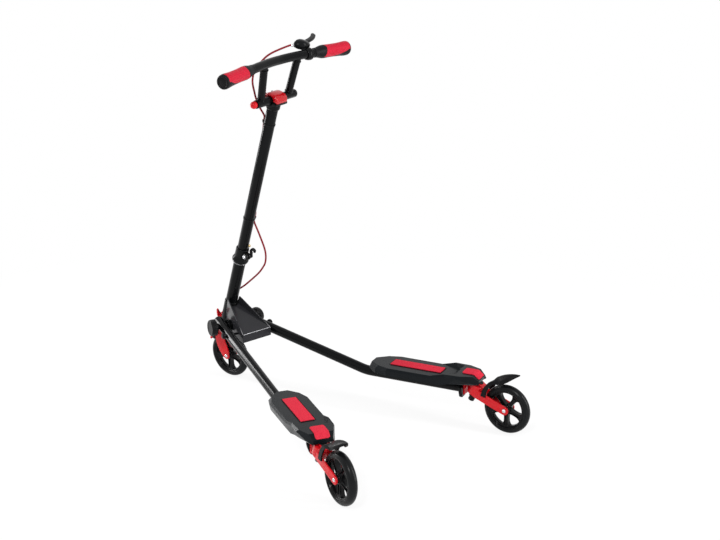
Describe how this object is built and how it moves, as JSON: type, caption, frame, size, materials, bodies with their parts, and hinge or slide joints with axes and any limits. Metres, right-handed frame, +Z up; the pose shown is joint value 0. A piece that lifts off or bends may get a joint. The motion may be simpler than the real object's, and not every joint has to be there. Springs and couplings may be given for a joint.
{
  "type": "three-wheeled swing scooter",
  "caption": "Swing scooter with a steered front wheel on a height-adjustable column and two splayed arms, each with a foot platform and a trailing caster.",
  "frame": {"origin": "on the ground under the middle of the whole scooter", "axes": "+X forward, +Y to the rider's left, +Z up; the bars and front wheel are turned 10.3 degrees to the left"},
  "size_m": [0.8858, 0.5972, 0.9366],
  "materials": {
    "black_paint": "gloss black powder coat",
    "red_paint": "gloss red paint",
    "zinc_steel": "bright zinc plate",
    "brass": "brushed brass",
    "tyre_urethane": "smoky dark urethane",
    "hub_plastic": "gloss black",
    "black_plastic": "satin black",
    "deck_plastic": "grey-black moulded",
    "grip_tape": "gritty red sheet",
    "grip_rubber": "soft red rubber",
    "cable_jacket": "dark red jacket",
    "pad_rubber": "dull black"
  },
  "bodies": {
    "frame": {"body_shell": "black_paint", "head_tube": "black_paint", "headset_upper": "black_paint", "headset_lower": "black_paint", "left_pivot_bolt": "black_paint", "right_pivot_bolt": "black_paint"},
    "fork_and_column": {"front_fork": "red_paint", "lower_tube": "black_paint", "clamp_collar": "black_paint", "collar_bolt": "zinc_steel", "front_axle": "zinc_steel", "caliper_bolt": "zinc_steel", "brake_cable_lower": "cable_jacket"},
    "front_wheel": {"front_tyre": "tyre_urethane", "front_hub": "hub_plastic"},
    "handlebars": {"upper_tube": "black_paint", "stem_clamp": "red_paint", "handlebar": "black_paint", "cross_tube_cap_left": "red_paint", "cross_tube_cap_right": "black_plastic", "grip_left": "grip_rubber", "grip_right": "grip_rubber", "brake_bracket": "black_plastic", "barrel_adjuster": "zinc_steel", "cable_clip_upper": "black_plastic", "cable_clip_lower": "black_plastic", "brake_cable_upper": "cable_jacket"},
    "height_button": {"height_button": "brass"},
    "brake_lever": {"brake_lever": "black_paint"},
    "quick_release_lever": {"quick_release_lever": "black_plastic"},
    "caliper_left": {"caliper_arm_left": "red_paint", "brake_pad_left": "pad_rubber"},
    "caliper_right": {"caliper_arm_right": "red_paint", "brake_pad_right": "pad_rubber"},
    "left_arm": {"left_arm": "black_paint", "left_platform": "deck_plastic", "left_front_pad": "grip_tape", "left_rear_pad": "grip_tape", "left_caster_bracket": "red_paint", "left_kingpin": "black_paint"},
    "left_caster": {"left_caster_fork": "red_paint", "left_mudguard": "black_plastic", "rear_left_axle": "zinc_steel"},
    "left_rear_wheel": {"rear_left_tyre": "tyre_urethane", "rear_left_hub": "hub_plastic"},
    "left_clamp_knob": {"left_clamp_knob": "black_plastic"},
    "left_locking_pin": {"left_locking_pin": "black_plastic"},
    "right_arm": {"right_arm": "black_paint", "right_platform": "deck_plastic", "right_front_pad": "grip_tape", "right_rear_pad": "grip_tape", "right_caster_bracket": "red_paint", "right_kingpin": "black_paint"},
    "right_caster": {"right_caster_fork": "red_paint", "right_mudguard": "black_plastic", "rear_right_axle": "zinc_steel"},
    "right_rear_wheel": {"rear_right_tyre": "tyre_urethane", "rear_right_hub": "hub_plastic"},
    "right_clamp_knob": {"right_clamp_knob": "black_plastic"},
    "right_locking_pin": {"right_locking_pin": "black_plastic"}
  },
  "joints": [
    {"name": "steering", "type": "hinge", "parent": "frame", "child": "fork_and_column", "pos_m": [0.43903, 0, 0], "axis": [-0.3305, 0, 0.9438], "range_deg": [-60, 40]},
    {"name": "front_wheel_spin", "type": "hinge", "parent": "fork_and_column", "child": "front_wheel", "pos_m": [0.38125, -0.00616, 0.06241], "axis": [-0.1688, 0.9839, -0.0591], "continuous": true},
    {"name": "height", "type": "slide", "parent": "fork_and_column", "child": "handlebars", "axis": [-0.3305, 0, 0.9438], "range_m": [0, 0.06], "deforming": ["brake_cable_lower"]},
    {"name": "height_button_press", "type": "slide", "parent": "handlebars", "child": "height_button", "axis": [0.64, 0.7349, 0.2241], "range_m": [0, 0.0045], "stiffness_N_per_m": 400},
    {"name": "brake_lever_pull", "type": "hinge", "parent": "handlebars", "child": "brake_lever", "pos_m": [0.16746, -0.08086, 0.91835], "axis": [0.3305, 0, -0.9438], "range_deg": [0, 18], "stiffness_Nm_per_rad": 0.6},
    {"name": "caliper_left_swing", "type": "hinge", "parent": "fork_and_column", "child": "caliper_left", "pos_m": [0.40527, 0.00432, 0.1683], "axis": [0.9286, 0.1788, 0.3252], "range_deg": [-1.7, 0]},
    {"name": "caliper_right_swing", "type": "hinge", "parent": "fork_and_column", "child": "caliper_right", "pos_m": [0.40972, 0.00518, 0.16986], "axis": [0.9286, 0.1788, 0.3252], "range_deg": [0, 1.7]},
    {"name": "quick_release_open", "type": "hinge", "parent": "fork_and_column", "child": "quick_release_lever", "pos_m": [0.28562, -0.01019, 0.36268], "axis": [0.9406, -0.0819, 0.3294], "range_deg": [0, 90]},
    {"name": "left_arm_fold", "type": "hinge", "parent": "frame", "child": "left_arm", "pos_m": [0.34223, 0.0469, 0.1655], "axis": [0.2689, 0.9632, 0], "range_deg": [0, 60]},
    {"name": "left_caster_swivel", "type": "hinge", "parent": "left_arm", "child": "left_caster", "pos_m": [-0.29684, 0.25778, 0.097], "axis": [-0.4128, 0.0908, 0.9063], "range_deg": [-35, 35]},
    {"name": "left_rear_wheel_spin", "type": "hinge", "parent": "left_caster", "child": "left_rear_wheel", "pos_m": [-0.38181, 0.27646, 0.0625], "axis": [0.2147, 0.9767, 0], "continuous": true},
    {"name": "left_clamp_knob_turn", "type": "hinge", "parent": "frame", "child": "left_clamp_knob", "pos_m": [0.34223, 0.0469, 0.1655], "axis": [0.2689, 0.9632, 0], "continuous": true},
    {"name": "left_locking_pin_pull", "type": "slide", "parent": "left_arm", "child": "left_locking_pin", "axis": [0.2689, 0.9632, 0], "range_m": [0, 0.008], "stiffness_N_per_m": 400},
    {"name": "right_arm_fold", "type": "hinge", "parent": "frame", "child": "right_arm", "pos_m": [0.34223, -0.0469, 0.1655], "axis": [-0.2689, 0.9632, 0], "range_deg": [0, 60]},
    {"name": "right_caster_swivel", "type": "hinge", "parent": "right_arm", "child": "right_caster", "pos_m": [-0.29684, -0.25778, 0.097], "axis": [-0.4128, -0.0908, 0.9063], "range_deg": [-35, 35]},
    {"name": "right_rear_wheel_spin", "type": "hinge", "parent": "right_caster", "child": "right_rear_wheel", "pos_m": [-0.38181, -0.27646, 0.0625], "axis": [-0.2147, 0.9767, 0], "continuous": true},
    {"name": "right_clamp_knob_turn", "type": "hinge", "parent": "frame", "child": "right_clamp_knob", "pos_m": [0.34223, -0.0469, 0.1655], "axis": [-0.2689, 0.9632, 0], "continuous": true},
    {"name": "right_locking_pin_pull", "type": "slide", "parent": "right_arm", "child": "right_locking_pin", "axis": [0.2689, -0.9632, 0], "range_m": [0, 0.008], "stiffness_N_per_m": 400}
  ],
  "couplings": [
    {"joint": "caliper_left_swing", "follows": "brake_lever_pull", "ratio": -0.09},
    {"joint": "caliper_right_swing", "follows": "brake_lever_pull", "ratio": 0.09}
  ]
}
